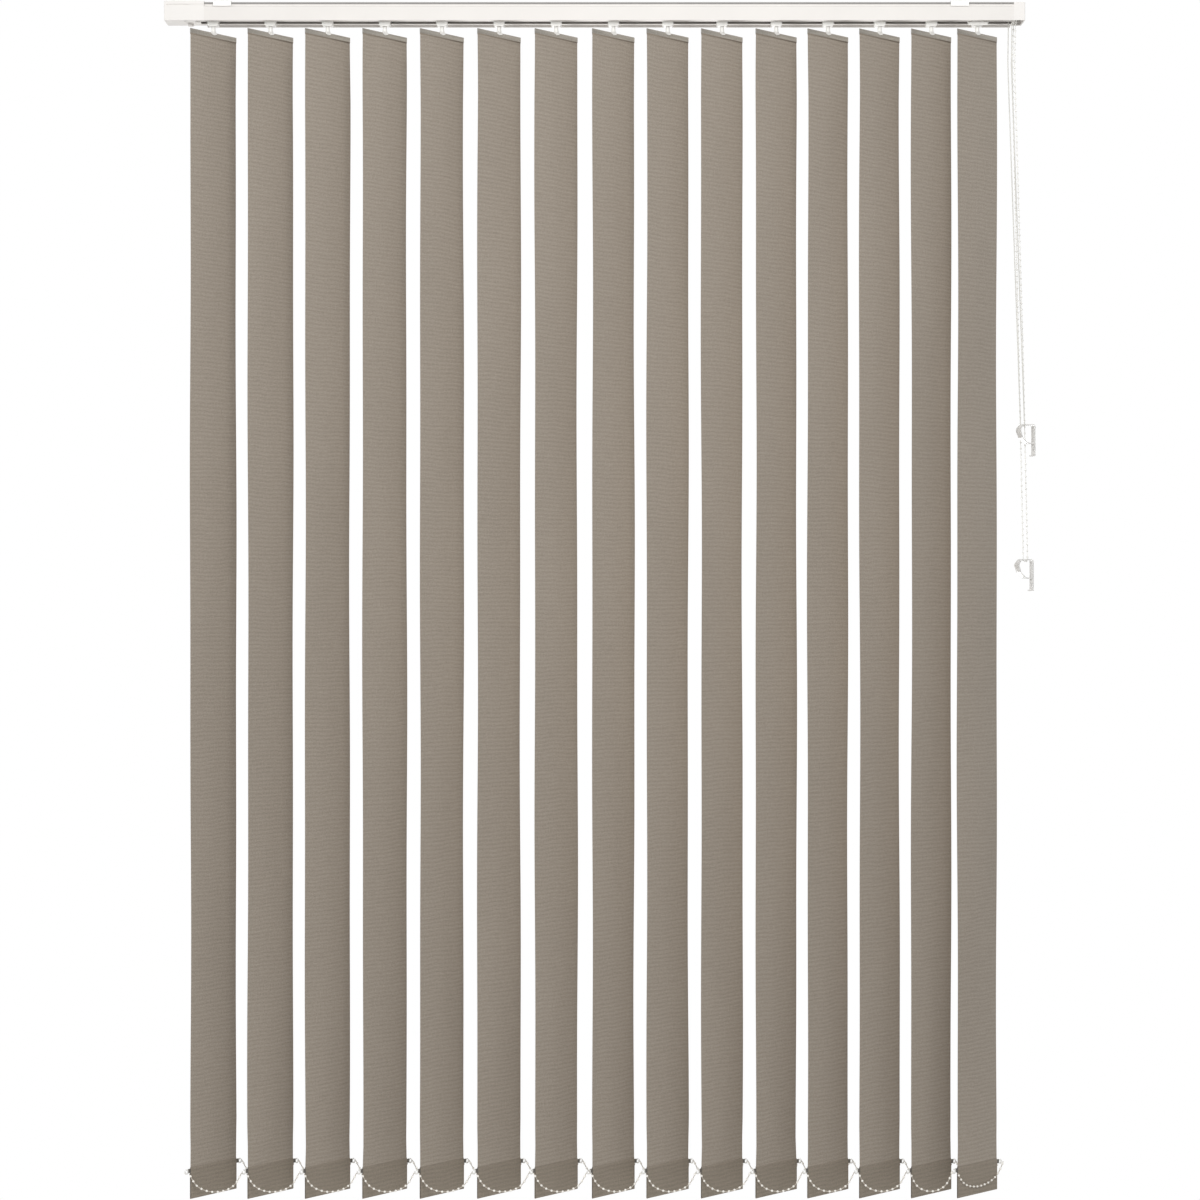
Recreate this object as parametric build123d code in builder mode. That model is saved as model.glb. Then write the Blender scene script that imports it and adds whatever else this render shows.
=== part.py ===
from build123d import *
import math
import os

# Vertical blind, in millimetres. X runs along the headrail, -Y faces the room, +Z is up.
# The origin lies on the ceiling, midway between the screws of the two ceiling brackets.

# Overall sizes
blind_width = 1800.0
drop = 2500.0
rail_centre_x = 7.5
bracket_inset = 129.0
slat_width = 127.0
slat_top_z = -62.0

# Slats along the rail: the axes of the first and last slats from the ends of the blind, and the
# spacing between them, which keeps its proportions on a wider or narrower blind
first_slat_inset = 99.5
last_slat_inset = 96.5
slat_spacing = [120.0] * 7 + [114.0] * 3 + [108.5] * 3 + [96.5]
slat_count = len(slat_spacing) + 1

# The slats stand half open. The rod winds up along its length, so they lag a little.
slat_angle = 46.0
wind_up = 4.0

# Headrail section
rail_depth = 54.0
rail_top_z = -3.0
rail_bottom_z = -41.0
rear_lip = 4.0
rail_wall = 1.4
rail_slot = 26.0
groove_depth = 3.0
groove_top = 2.2
groove_height = 7.0

# End units
return_length = 83.5
control_length = 23.5
unit_wall = 2.0

# Tilt rod, sprocket and bead chain
rod_radius = 3.0
rod_y = 9.5
rod_z = -27.0
rod_spline = 0.8
running_gap = 0.25
chain_radius = 1.6
bead_radius = 2.25
bead_pitch = 13.0
sprocket_pockets = 6
sprocket_width = 7.0
sprocket_inset = 16.5

# Traverse cord and its pulleys
cord_radius = 1.1
cord_z = -21.0
cord_front_y = -10.5
cord_back_y = -2.0
pulley_radius = 6.0
pulley_width = 4.8
pulley_flange = 1.4
pin_radius = 1.5
front_pulley_inset = 31.0
back_pulley_inset = 37.0
return_pulley_inset = 20.5

# Carriers
carrier_length = 23.0
carrier_depth = 29.0
carrier_top_z = -10.0
foot_inset = 7.0
block_depth = 19.6
block_bottom_z = -46.0
snout_bottom_z = -49.5
slide_gap = 0.3

# Spacer strips, which slide through the windows of the carriers to their left
strip_width = 8.0
strip_thickness = 0.4
strip_y = -6.0
strip_z = -16.9
strip_step = 0.9
strip_levels = 5
strip_ear = 1.2
strip_reach = 2.0
window_gap = 0.5

# Stem, its wheel and its clip
stem_radius = 4.2
wheel_radius = 5.2
wheel_teeth = 14
wheel_bottom_z = -30.2
wheel_height = 6.0
clip_length = 15.0
clip_height = 7.0
clip_centre_z = -63.5
jaw_thickness = 1.5
jaw_gap = 0.4
nib_radius = 1.7
nib_gap = 0.3
nib_z = -65.8

# Slat fabric and its two welded pockets
fabric = 0.45
pocket_gap = 0.15
hanger_thickness = 1.2
hanger_height = 9.0
top_weld_z = -74.5
bottom_pocket = 66.0
weld_slope = 2.5

# Bottom weight with its two hooks
weight_thickness = 2.0
weight_inset = 5.0
weight_top_gap = 3.0
weight_bottom_gap = 2.0
lug_length = 6.5
lug_height = 8.4
hook_radius = 5.4
hook_wire = 2.2
hook_mouth = 3.4

# Bottom chains
link_radius = 1.0
chain_sag = 45.0
chain_end_offset = 3.4

# Safety clips for the two hanging loops
clip_wall_gap = 21.0
clip_turn = 22.0
band_width = 13.0
band_thickness = 2.5
band_flare = 3.5
ring_height = 41.0
ring_reach = 39.5
plate_length = 67.0
screw_radius = 2.0
cord_clip_y = -10.0
cord_clip_z = -885.0
cord_clip_hang = 27.5
chain_clip_y = 12.0
chain_clip_z = -1167.0
chain_clip_hang = 16.5

# Ceiling brackets
bracket_length = 37.6
bracket_plate = 2.7
bracket_arm = 2.0
bracket_drop = 11.5
bracket_screw_radius = 2.4

# Places worked out from the sizes above
rail_left_x = rail_centre_x - blind_width / 2 + return_length
rail_right_x = rail_centre_x + blind_width / 2 - control_length
unit_left_x = rail_left_x - return_length
unit_right_x = rail_right_x + control_length
bracket_spacing = blind_width - 2 * bracket_inset
last_slat_x = unit_right_x - last_slat_inset
slat_run = blind_width - first_slat_inset - last_slat_inset
slat_pitches = [p * slat_run / sum(slat_spacing) for p in slat_spacing]
sprocket_x = unit_right_x - sprocket_inset
front_pulley_x = unit_right_x - front_pulley_inset
back_pulley_x = unit_right_x - back_pulley_inset
return_pulley_x = unit_left_x + return_pulley_inset
clip_wall_x = unit_right_x + clip_wall_gap
foot_depth = rail_depth - 2 * foot_inset
bottom_weld_z = bottom_pocket - drop
half_depth = rail_depth / 2
floor_z = rail_bottom_z + rail_wall
slat_bottom_z = -drop
half_slat = slat_width / 2
sprocket_radius = bead_pitch / (2 * math.sin(math.pi / sprocket_pockets))
return_radius = (cord_back_y - cord_front_y) / 2
return_y = (cord_front_y + cord_back_y) / 2
pulley_z = cord_z - pulley_radius
hook_z = bottom_weld_z - weld_slope - 0.4 - lug_height / 2
hook_reach = half_slat + lug_length + hook_radius - hook_wire / 2
slat_x = [last_slat_x - sum(slat_pitches[i:]) for i in range(slat_count)]

os.makedirs("parts", exist_ok=True)


def angle_of(i):
    """A slat's angle from the rail: the slats furthest from the control end lead by wind_up."""
    return slat_angle + wind_up * (1 - 2 * i / (slat_count - 1))


def level_of(i):
    """The height at which carrier i's spacer strip slides."""
    return strip_z + strip_step * (i % strip_levels)


def block(x0, x1, y0, y1, z0, z1, mode=Mode.ADD):
    """A rectangular block between two corners, added to or cut from the part being built."""
    with Locations(((x0 + x1) / 2, (y0 + y1) / 2, (z0 + z1) / 2)):
        return Box(abs(x1 - x0), abs(y1 - y0), abs(z1 - z0), mode=mode)


def save(part, name):
    part.label = name
    export_step(part, f"parts/{name}.step")


def tube(points, radii, radius):
    """A plain cord: straight runs joined by tangent arcs, with a round section swept along them."""
    with BuildPart() as cord:
        with BuildLine() as path:
            FilletPolyline(*points, radius=radii)
        with BuildSketch(Plane(origin=path.line @ 0, z_dir=path.line % 0)):
            Circle(radius)
        sweep(transition=Transition.ROUND)
    length = sum(edge.length for edge in path.edges())
    print(f"radius {radius}: length {length:.1f}, volume ratio {cord.part.volume / length / math.pi / radius**2:.4f}")
    return cord.part


def corner_radii(points, share=0.45):
    """The largest arc that each corner of a route allows."""
    radii = []
    for before, at, after in zip(points, points[1:], points[2:]):
        first, second = Vector(*at) - Vector(*before), Vector(*after) - Vector(*at)
        turn = math.radians(first.get_angle(second))
        radii.append(share * min(first.length, second.length) / math.tan(turn / 2))
    return radii


# Headrail: an aluminium channel, open below, with a groove along its top edge for the brackets.
# The rear wall hangs a little lower than the front one.
with BuildPart() as headrail:
    with BuildSketch(Plane.YZ.offset(rail_left_x)):
        with BuildLine():
            outer = [
                (-rail_slot / 2, rail_bottom_z),
                (-half_depth, rail_bottom_z),
                (-half_depth, rail_top_z - groove_height - groove_depth),
                (-half_depth + groove_depth, rail_top_z - groove_height),
                (-half_depth + groove_depth, rail_top_z - groove_top),
                (-half_depth + 1, rail_top_z - groove_top),
                (-half_depth + 1, rail_top_z),
                (half_depth - 1, rail_top_z),
                (half_depth - 1, rail_top_z - groove_top),
                (half_depth - groove_depth, rail_top_z - groove_top),
                (half_depth - groove_depth, rail_top_z - groove_height),
                (half_depth, rail_top_z - groove_height - groove_depth),
                (half_depth, rail_bottom_z - rear_lip),
                (half_depth - rail_wall, rail_bottom_z - rear_lip),
                (half_depth - rail_wall, rail_bottom_z),
                (rail_slot / 2, rail_bottom_z),
            ]
            inner_half = half_depth - rail_wall
            inner = [
                (rail_slot / 2, floor_z),
                (inner_half, floor_z),
                (inner_half, rail_top_z - groove_height - groove_depth - rail_wall / 2),
                (inner_half - groove_depth, rail_top_z - groove_height - rail_wall / 2),
                (inner_half - groove_depth, rail_top_z - rail_wall),
                (-inner_half + groove_depth, rail_top_z - rail_wall),
                (-inner_half + groove_depth, rail_top_z - groove_height - rail_wall / 2),
                (-inner_half, rail_top_z - groove_height - groove_depth - rail_wall / 2),
                (-inner_half, floor_z),
                (-rail_slot / 2, floor_z),
            ]
            Polyline(*outer, *inner, close=True)
        make_face()
    extrude(amount=rail_right_x - rail_left_x)
save(headrail.part, "headrail")

# Ceiling brackets: one plate under each screw, with hooked arms that hold the rail by its grooves
hook_in = half_depth - groove_depth + 0.5
with BuildPart() as bracket:
    with BuildSketch(Plane.YZ.offset(-bracket_length / 2)):
        arm_out = half_depth - 1 + 0.3 + bracket_arm
        arm_in = half_depth - 1 + 0.3
        hook_top = rail_top_z - groove_top - slide_gap
        with BuildLine():
            Polyline(
                (-arm_out, 0),
                (-arm_out, -bracket_drop),
                (-arm_in, -bracket_drop),
                (-arm_in - 0.01, hook_top - 2),
                (-hook_in, hook_top - 1),
                (-hook_in, hook_top),
                (-arm_in, hook_top),
                (-arm_in, -bracket_plate),
                (arm_in, -bracket_plate),
                (arm_in, hook_top),
                (hook_in, hook_top),
                (hook_in, hook_top - 1),
                (arm_in + 0.01, hook_top - 2),
                (arm_in, -bracket_drop),
                (arm_out, -bracket_drop),
                (arm_out, 0),
                close=True,
            )
        make_face()
    extrude(amount=bracket_length)
    fillet(bracket.edges().filter_by(Axis.X).sort_by(Axis.Z)[-2:], bracket_arm * 0.8)
    with Locations(Plane.XY.offset(-bracket_plate).location * Rotation(180, 0, 0)):
        CounterSinkHole(bracket_screw_radius, bracket_screw_radius * 1.8, counter_sink_angle=90)
brackets = Compound(
    children=[
        bracket.part.moved(Location((side * bracket_spacing / 2, 0, 0))) for side in (-1, 1)
    ]
)
save(brackets, "ceiling_brackets")

# Return unit: a moulded box that closes the left end. It holds the return pulley on a pin and
# the far end of the tilt rod in a web, and its top plate reaches up to the ceiling.
web_x = unit_left_x + 56
with BuildPart() as return_cap:
    block(unit_left_x, rail_left_x, -half_depth, half_depth, rail_bottom_z, -0.5)
    fillet(return_cap.edges().filter_by(Axis.Z).group_by(Axis.X)[0], 1.2)
    block(
        unit_left_x + unit_wall,
        rail_left_x,
        -half_depth + unit_wall,
        half_depth - unit_wall,
        rail_bottom_z + unit_wall,
        rail_top_z - unit_wall - 4,
        mode=Mode.SUBTRACT,
    )
    # long slot under the top plate, deep at its left end
    block(unit_left_x + 5, unit_left_x + 53, -half_depth, -half_depth + 1.4, -11.4, -7.4, Mode.SUBTRACT)
    block(unit_left_x + 53, rail_left_x, -half_depth, -half_depth + 0.8, -8.6, -7.4, Mode.SUBTRACT)
    # web with the rod's bearing
    block(web_x, web_x + 4, 4, half_depth - unit_wall, rail_bottom_z + unit_wall, -9)
    with Locations(Location((web_x + 2, rod_y, rod_z), (0, 90, 0))):
        Cylinder(rod_radius + running_gap, 6, mode=Mode.SUBTRACT)
    # boss and pin of the return pulley
    pulley_under = cord_z - pulley_width / 2
    with Locations((return_pulley_x, return_y, (rail_bottom_z + pulley_under) / 2 - 0.1)):
        Cylinder(3.0, pulley_under - rail_bottom_z - 0.2)
    with Locations((return_pulley_x, return_y, (rail_bottom_z - 6) / 2)):
        Cylinder(pin_radius, -6 - rail_bottom_z)
    # fixings on the underside: an oval head, a knurled foot and a small block
    with Locations((unit_left_x + 44, -17, rail_bottom_z)):
        Sphere(4.2, arc_size1=-90, arc_size2=0)
    with Locations((unit_left_x + 51, 8, rail_bottom_z - 2.6)):
        Cylinder(6.0, 5.2)
    block(unit_left_x + 66, unit_left_x + 75, -16, -6, rail_bottom_z - 3.4, rail_bottom_z)
    # mouth that leaves room for the first carrier's snout
    block(rail_left_x - 12, rail_left_x, -12.5, 12.5, rail_bottom_z, rail_bottom_z + unit_wall, Mode.SUBTRACT)
save(return_cap.part, "return_cap")

# Control unit: the housing on the right end, open below, with the rod's bearing in its end wall
# and three cheeks that reach into the rail and carry the two cord pulleys on fixed pins.
cheek_left_x = back_pulley_x - 9
front_edges = (cord_front_y - pulley_width / 2 - slide_gap, cord_front_y + pulley_width / 2 + slide_gap)
back_edges = (cord_back_y - pulley_width / 2 - slide_gap, cord_back_y + pulley_width / 2 + slide_gap)
with BuildPart() as control_cap:
    block(rail_right_x, unit_right_x, -half_depth, half_depth, rail_bottom_z, rail_top_z)
    fillet(control_cap.edges().filter_by(Axis.Z).group_by(Axis.X)[-1], 1.6)
    block(
        rail_right_x + unit_wall,
        unit_right_x - unit_wall,
        -half_depth + 1.5,
        half_depth - 1.5,
        rail_bottom_z,
        rail_top_z - unit_wall,
        mode=Mode.SUBTRACT,
    )
    # boss of the rod's bearing
    with Locations(Location(((sprocket_x + 5 + unit_right_x) / 2 - 0.5, rod_y, rod_z), (0, 90, 0))):
        Cylinder(5.6, unit_right_x - sprocket_x - 6)
    with Locations(Location(((sprocket_x + unit_right_x) / 2 - 1.5, rod_y, rod_z), (0, 90, 0))):
        Cylinder(rod_radius + running_gap, unit_right_x - sprocket_x - 3, mode=Mode.SUBTRACT)
    # windows of the inner web, for the rod
    with Locations(Location((rail_right_x + 1, rod_y, rod_z), (0, 90, 0))):
        Cylinder(rod_radius + 1, 4, mode=Mode.SUBTRACT)
    # notch that the front strand of the cord hangs through
    notch = (front_edges[0], front_edges[1], rail_bottom_z - 1, pulley_z + 2)
    block(rail_right_x - 1, rail_right_x + unit_wall + 1, *notch, Mode.SUBTRACT)
    # cheeks
    for y0, y1 in (
        (front_edges[0] - 1.7, front_edges[0]),
        (front_edges[1], back_edges[0]),
        (back_edges[1], back_edges[1] + 1.8),
    ):
        block(cheek_left_x, rail_right_x, y0, y1, pulley_z - 9, pulley_z + 9)
    for x in (front_pulley_x,):
        with Locations(Location((x, (front_edges[0] - 1.7 + front_edges[1]) / 2, pulley_z), (90, 0, 0))):
            Cylinder(pin_radius, front_edges[1] - front_edges[0] + 1.7)
    with Locations(Location((back_pulley_x, (back_edges[0] + back_edges[1] + 1.8) / 2, pulley_z), (90, 0, 0))):
        Cylinder(pin_radius, back_edges[1] - back_edges[0] + 1.8)
save(control_cap.part, "control_cap")

# Tilt rod: a drawn rod with three grooves, which turns in the two end units
rod_left_x = web_x - 6
rod_right_x = unit_right_x - 5
with BuildPart() as tilt_rod:
    with BuildSketch(Plane.YZ.offset(rod_left_x)):
        with Locations((rod_y, rod_z)):
            Circle(rod_radius)
            with PolarLocations(rod_radius, 3):
                Rectangle(rod_spline * 2, 1.2, mode=Mode.SUBTRACT)
    extrude(amount=rod_right_x - rod_left_x)
save(tilt_rod.part, "tilt_rod")

# Chain sprocket: a wheel with a grooved rim and one round pocket for each bead
with BuildPart() as chain_sprocket:
    with Locations(Location((0, 0, 0), (0, 90, 0))):
        Cylinder(sprocket_radius + bead_radius - 0.4, sprocket_width)
    with BuildSketch(Plane.XY) as rim_groove:
        with Locations((0, sprocket_radius)):
            Circle(bead_radius + 0.35)
    revolve(axis=Axis.X, mode=Mode.SUBTRACT)
    for n in range(sprocket_pockets):
        turn = 2 * math.pi * (n + 0.5) / sprocket_pockets
        with Locations((0, sprocket_radius * math.sin(turn), sprocket_radius * math.cos(turn))):
            Sphere(bead_radius + 0.8, mode=Mode.SUBTRACT)
    with Locations(Location((0, 0, 0), (0, 90, 0))):
        Cylinder(rod_radius + 0.1, sprocket_width + 2, mode=Mode.SUBTRACT)
save(chain_sprocket.part.moved(Location((sprocket_x, rod_y, rod_z))), "chain_sprocket")


def grooved_pulley(to_cord):
    """A pulley about Z, whose groove carries the middle of the cord at the radius to_cord."""
    bottom, rim = to_cord - cord_radius - 0.15, to_cord + pulley_flange
    with BuildPart() as pulley:
        with BuildSketch(Plane.XZ):
            with BuildLine():
                half, neck = pulley_width / 2, cord_radius + 0.25
                Polyline(
                    (pin_radius + 0.1, -half),
                    (rim, -half),
                    (rim, -half + 0.7),
                    (bottom + 0.4, -neck),
                    (bottom, -neck / 2),
                    (bottom, neck / 2),
                    (bottom + 0.4, neck),
                    (rim, half - 0.7),
                    (rim, half),
                    (pin_radius + 0.1, half),
                    close=True,
                )
            make_face()
        revolve(axis=Axis.Z)
    return pulley.part


save(grooved_pulley(return_radius).moved(Location((return_pulley_x, return_y, cord_z))), "return_pulley")
upright = Rotation(90, 0, 0)
save(
    (Location((front_pulley_x, cord_front_y, pulley_z)) * upright * grooved_pulley(pulley_radius)),
    "cord_pulley_front",
)
save(
    (Location((back_pulley_x, cord_back_y, pulley_z)) * upright * grooved_pulley(pulley_radius)),
    "cord_pulley_back",
)


def carrier_housing(i):
    """One carrier: a moulded block with feet on the rail's lips and a snout through its slot."""
    half = carrier_length / 2
    fixed = i == slat_count - 1
    with BuildPart() as carrier:
        block(-half, half, -14, carrier_depth - 14, -37, carrier_top_z)
        fillet(carrier.edges().filter_by(Axis.X).group_by(Axis.Z)[-1], 2.5)
        foot_z = floor_z + slide_gap
        block(-half, half, -foot_depth / 2, foot_depth / 2, foot_z, -34)
        fillet(
            carrier.edges().filter_by(Axis.X).group_by(Axis.Z)[1].sort_by(Axis.Y)[0:1]
            + carrier.edges().filter_by(Axis.X).group_by(Axis.Z)[1].sort_by(Axis.Y)[-1:],
            1.2,
        )
        slot_half = rail_slot / 2 - 0.7
        block(-half, half, -slot_half, slot_half, rail_bottom_z - 0.5, foot_z + 0.1)
        with BuildSketch(Plane.XZ.offset(-block_depth / 2)):
            with BuildLine():
                Polyline(
                    (-half, rail_bottom_z - 0.4),
                    (-half, block_bottom_z),
                    (-half + 3.2, snout_bottom_z),
                    (half - 3.2, snout_bottom_z),
                    (half, block_bottom_z),
                    (half, rail_bottom_z - 0.4),
                    close=True,
                )
            make_face()
        extrude(amount=block_depth)
        if fixed:
            # stop plate of the fixed carrier, wide enough to show past the parked stack
            with BuildSketch(Plane.XZ.offset(block_depth / 2 + 0.8)):
                with BuildLine():
                    Polyline(
                        (-carrier_length, rail_bottom_z - 0.8),
                        (-carrier_length + 4, block_bottom_z - 2),
                        (carrier_length - 4, block_bottom_z - 2),
                        (carrier_length, rail_bottom_z - 0.8),
                        close=True,
                    )
                make_face()
            extrude(amount=2.2)
            block(-half, half, -slot_half, -block_depth / 2, block_bottom_z, rail_bottom_z)
        # bore of the stem, and above it the chamber of its wheel, open to the front
        with Locations((0, 0, (wheel_bottom_z + snout_bottom_z) / 2)):
            Cylinder(stem_radius + running_gap, wheel_bottom_z - snout_bottom_z + 2, mode=Mode.SUBTRACT)
        with Locations((0, 0, wheel_bottom_z + wheel_height / 2)):
            Cylinder(wheel_radius + 0.35, wheel_height + 2 * slide_gap, mode=Mode.SUBTRACT)
        block(
            -wheel_radius - 0.35,
            wheel_radius + 0.35,
            -15,
            0,
            wheel_bottom_z - slide_gap,
            wheel_bottom_z + wheel_height + slide_gap,
            Mode.SUBTRACT,
        )
        # bore of the tilt rod
        with Locations(Location((0, rod_y, rod_z), (0, 90, 0))):
            Cylinder(rod_radius + running_gap, carrier_length + 2, mode=Mode.SUBTRACT)
        # channels of the two cord runs
        for y in (cord_front_y, cord_back_y):
            with Locations(Location((0, y, cord_z), (0, 90, 0))):
                Cylinder(cord_radius + 0.4, carrier_length + 2, mode=Mode.SUBTRACT)
        # window of the spacer strips
        half_window = strip_width / 2 + strip_ear + window_gap
        block(
            -half - 1,
            half + 1,
            strip_y - half_window,
            strip_y + half_window,
            strip_z - 0.5,
            strip_z + strip_step * (strip_levels - 1) + 0.7,
            Mode.SUBTRACT,
        )
        if not fixed:
            # lugs that catch the ears of the next carrier's strip when the slats are fully spread
            catch = level_of(i + 1)
            for side in (-1, 1):
                edge = strip_y + side * (strip_width / 2 + 0.35)
                wall = strip_y + side * (half_window + 0.2)
                block(-half, -half + 1.5, min(edge, wall), max(edge, wall), catch - 0.3, catch + 0.3)
    return carrier.part


def spacer_strip(i):
    """The steel strip of carrier i: it reaches left through carrier i-1 and ends in two ears."""
    half = carrier_length / 2
    left = -(slat_pitches[i - 1] + half + 0.3 + strip_reach)
    level = level_of(i)
    with BuildPart() as strip:
        with BuildSketch(Plane.XY.offset(level - strip_thickness / 2)):
            with BuildLine():
                inner, ear = strip_width / 2, strip_width / 2 + strip_ear
                Polyline(
                    (half + 0.1, strip_y - inner),
                    (left + strip_reach, strip_y - inner),
                    (left + strip_reach, strip_y - ear),
                    (left + 0.8, strip_y - ear),
                    (left, strip_y - inner),
                    (left, strip_y + inner),
                    (left + 0.8, strip_y + ear),
                    (left + strip_reach, strip_y + ear),
                    (left + strip_reach, strip_y + inner),
                    (half + 0.1, strip_y + inner),
                    close=True,
                )
            make_face()
        extrude(amount=strip_thickness)
        # head that stops the strip at the carrier's right face, wider than the window
        head = inner + strip_ear + window_gap + 1.6
        block(
            half + 0.1,
            half + 0.8,
            strip_y - head,
            strip_y + head,
            level - strip_thickness / 2,
            level + strip_thickness / 2,
        )
    return strip.part


for i in range(slat_count):
    pieces = [carrier_housing(i)]
    if i > 0:
        pieces.append(spacer_strip(i))
    carrier = Compound(children=[piece.moved(Location((slat_x[i], 0, 0))) for piece in pieces])
    save(carrier, f"carrier_{i + 1:02d}")

# Slat fabric at its own axis, along X: one woven strip, folded over and welded at both ends.
# The front face is towards -Y.
with BuildPart() as slat:
    with BuildSketch(Plane.YZ.offset(-half_slat)):
        half = fabric / 2
        top_in = hanger_thickness / 2 + pocket_gap
        low_in = weight_thickness / 2 + pocket_gap
        with BuildLine():
            Polyline(
                (-top_in - fabric, slat_top_z),
                (-top_in - fabric, top_weld_z + weld_slope),
                (-half, top_weld_z),
                (-half, bottom_weld_z),
                (-low_in - fabric, bottom_weld_z - weld_slope),
                (-low_in - fabric, slat_bottom_z),
                (low_in + fabric, slat_bottom_z),
                (low_in + fabric, bottom_weld_z - weld_slope),
                (half, bottom_weld_z),
                (half, top_weld_z),
                (top_in + fabric, top_weld_z + weld_slope),
                (top_in + fabric, slat_top_z),
                close=True,
            )
        make_face()
        with BuildLine():
            Polyline(
                (-top_in, slat_top_z - fabric),
                (-top_in, top_weld_z + weld_slope),
                (top_in, top_weld_z + weld_slope),
                (top_in, slat_top_z - fabric),
                close=True,
            )
        make_face(mode=Mode.SUBTRACT)
        with BuildLine():
            Polyline(
                (-low_in, bottom_weld_z - weld_slope),
                (-low_in, slat_bottom_z + fabric),
                (low_in, slat_bottom_z + fabric),
                (low_in, bottom_weld_z - weld_slope),
                close=True,
            )
        make_face(mode=Mode.SUBTRACT)
    extrude(amount=slat_width)
    with Locations(Location((0, 0, nib_z), (90, 0, 0))):
        Cylinder(nib_radius + nib_gap + 0.5, 10, mode=Mode.SUBTRACT)

# Stem: a moulded shaft with a toothed wheel at its top and a clip at its foot. The clip's nib
# passes through the slat and its hanger from behind.
jaw_in = hanger_thickness / 2 + pocket_gap + fabric + jaw_gap
with BuildPart() as stem:
    bar_z = slat_top_z + 0.8
    with Locations((0, 0, (bar_z + wheel_bottom_z) / 2)):
        Cylinder(stem_radius, wheel_bottom_z - bar_z)
    with BuildSketch(Plane.XY.offset(wheel_bottom_z)):
        Circle(wheel_radius - 0.9)
        with PolarLocations(wheel_radius - 0.8, wheel_teeth):
            Rectangle(1.5, 1.1)
    extrude(amount=wheel_height)
    block(-clip_length / 2 + 3, clip_length / 2 - 3, -jaw_in - jaw_thickness, jaw_in + jaw_thickness, bar_z, bar_z + 2.4)
    with BuildSketch(Plane.XZ.offset(jaw_in)):
        with Locations((0, clip_centre_z)):
            Ellipse(clip_length / 2, clip_height / 2)
        with Locations((0, (bar_z + clip_centre_z) / 2 + 1)):
            Rectangle(clip_length - 6, bar_z - clip_centre_z + 2)
    extrude(amount=jaw_thickness)
    with BuildSketch(Plane.XZ.offset(-jaw_in - jaw_thickness)):
        with Locations((0, (bar_z + nib_z - 3.5) / 2)):
            RectangleRounded(8.0, bar_z - nib_z + 3.5, 1.5)
    extrude(amount=jaw_thickness)
    with Locations(Location((0, (jaw_thickness + slide_gap) / 2 + 0.0, nib_z), (90, 0, 0))):
        Cylinder(nib_radius, 2 * jaw_in + jaw_thickness - slide_gap)

# Hanger: a flat strip with round ends inside the top pocket, with a hole for the nib
with BuildPart() as hanger:
    hanger_top = slat_top_z - fabric - slide_gap / 2
    with BuildSketch(Plane.XZ.offset(-hanger_thickness / 2)):
        with Locations((0, hanger_top - hanger_height / 2)):
            RectangleRounded(slat_width - 1, hanger_height, 2.0)
        with Locations((0, nib_z)):
            Circle(nib_radius + nib_gap, mode=Mode.SUBTRACT)
    extrude(amount=hanger_thickness)

# Bottom weight: a plate in the bottom pocket, with a lug and an open hook at each upper corner
with BuildPart() as weight:
    plate_top = bottom_weld_z - weight_top_gap
    plate_bottom = slat_bottom_z + fabric + weight_bottom_gap
    half_plate = half_slat - weight_inset
    with BuildSketch(Plane.XZ.offset(-weight_thickness / 2)):
        with Locations((0, (plate_top + plate_bottom) / 2)):
            RectangleRounded(2 * half_plate, plate_top - plate_bottom, 3.0)
        for side in (-1, 1):
            with Locations((side * (half_plate - 4 + half_slat + lug_length) / 2, hook_z)):
                Rectangle(half_slat + lug_length - half_plate + 4, lug_height)
    extrude(amount=weight_thickness)
    with BuildSketch(Plane.XZ.offset(-weight_thickness / 2)):
        for side in (-1, 1):
            with Locations((side * hook_reach, hook_z - 1)):
                Circle(hook_radius)
                Circle(hook_radius - hook_wire, mode=Mode.SUBTRACT)
                with Locations((side * hook_radius * 0.55, hook_radius * 0.8)):
                    Rectangle(hook_mouth, hook_radius, mode=Mode.SUBTRACT)
    extrude(amount=weight_thickness)


def at_slat(part, i):
    return part.moved(Location((slat_x[i], 0, 0), (0, 0, angle_of(i))))


for i in range(slat_count):
    save(at_slat(slat.part, i), f"slat_{i + 1:02d}")
    fittings = Compound(children=[at_slat(piece.part, i) for piece in (stem, hanger, weight)])
    save(fittings, f"slat_fittings_{i + 1:02d}")

# Safety clips: one moulded band each, bent round into a ring that flares at its mouth, with a
# screw plate below. They hold the two loops taut beside the blind.
ring_points = [
    (band_thickness / 2, -plate_length),
    (band_thickness / 2, -band_thickness / 2),
    (30.0, -band_thickness / 2),
    (ring_reach - band_thickness / 2, -12.0),
    (32.0, -28.0),
    (19.0, -ring_height + band_thickness / 2),
    (band_thickness + 0.7, -ring_height + band_thickness / 2),
]
with BuildPart() as safety_clip:
    with BuildSketch(Plane.XZ.offset(-band_width)):
        with BuildLine() as band_line:
            FilletPolyline(*[(-u, v) for u, v in ring_points], radius=[4.0, 7.0, 9.0, 9.0, 6.0])
        trace(band_line.line, line_width=band_thickness)
        with Locations((-band_thickness - 1.5, -plate_length + 1.2)):
            Rectangle(6.0, 2.4)
    extrude(amount=2 * band_width)
    flare_start, flare_end = 28.0, ring_reach + 2
    narrow = band_width / 2
    wide = narrow + band_flare
    with BuildSketch(Plane.XY.offset(-plate_length - 2)):
        with BuildLine():
            Polyline(
                (2, -narrow),
                (-flare_start, -narrow),
                (-flare_end, -wide),
                (-flare_end, wide),
                (-flare_start, narrow),
                (2, narrow),
                close=True,
            )
        make_face()
    extrude(amount=plate_length + 4, mode=Mode.INTERSECT)
    with Locations(Location((-band_thickness / 2, 0, -plate_length + 13), (0, 90, 0))):
        Cylinder(screw_radius, band_thickness * 3, mode=Mode.SUBTRACT)
clips = []
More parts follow.
